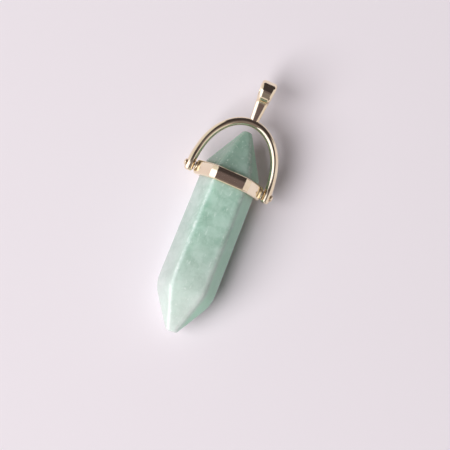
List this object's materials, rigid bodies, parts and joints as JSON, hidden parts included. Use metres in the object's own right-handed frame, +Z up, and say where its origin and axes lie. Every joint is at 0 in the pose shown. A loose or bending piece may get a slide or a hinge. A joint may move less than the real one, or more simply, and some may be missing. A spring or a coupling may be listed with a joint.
{
  "type": "hexagonal crystal point pendant",
  "caption": "Double-ended hexagonal stone point held in a faceted collar, with a hinged wire yoke and a tapered bail for a chain.",
  "frame": {"origin": "centre of the bounding box at the level of the surface that the pendant lies on", "axes": "+Y along the pendant from the stone's long point to the bail, +X across it along the hinge line, +Z up from the surface"},
  "size_m": [0.015, 0.042, 0.0104],
  "materials": {
    "green_aventurine": "polished cloudy pale green stone",
    "pale_gold": "polished pale champagne gold plating"
  },
  "bodies": {
    "root": {"stone": "green_aventurine", "collar": "pale_gold", "rivet_left": "pale_gold", "rivet_right": "pale_gold"},
    "yoke": {"yoke": "pale_gold"}
  },
  "joints": [
    {"name": "yoke_swing", "type": "hinge", "parent": "root", "child": "yoke", "pos_m": [0, 0.00424, 0.00518], "axis": [1, 0, 0], "range_deg": [-145, 145]}
  ]
}
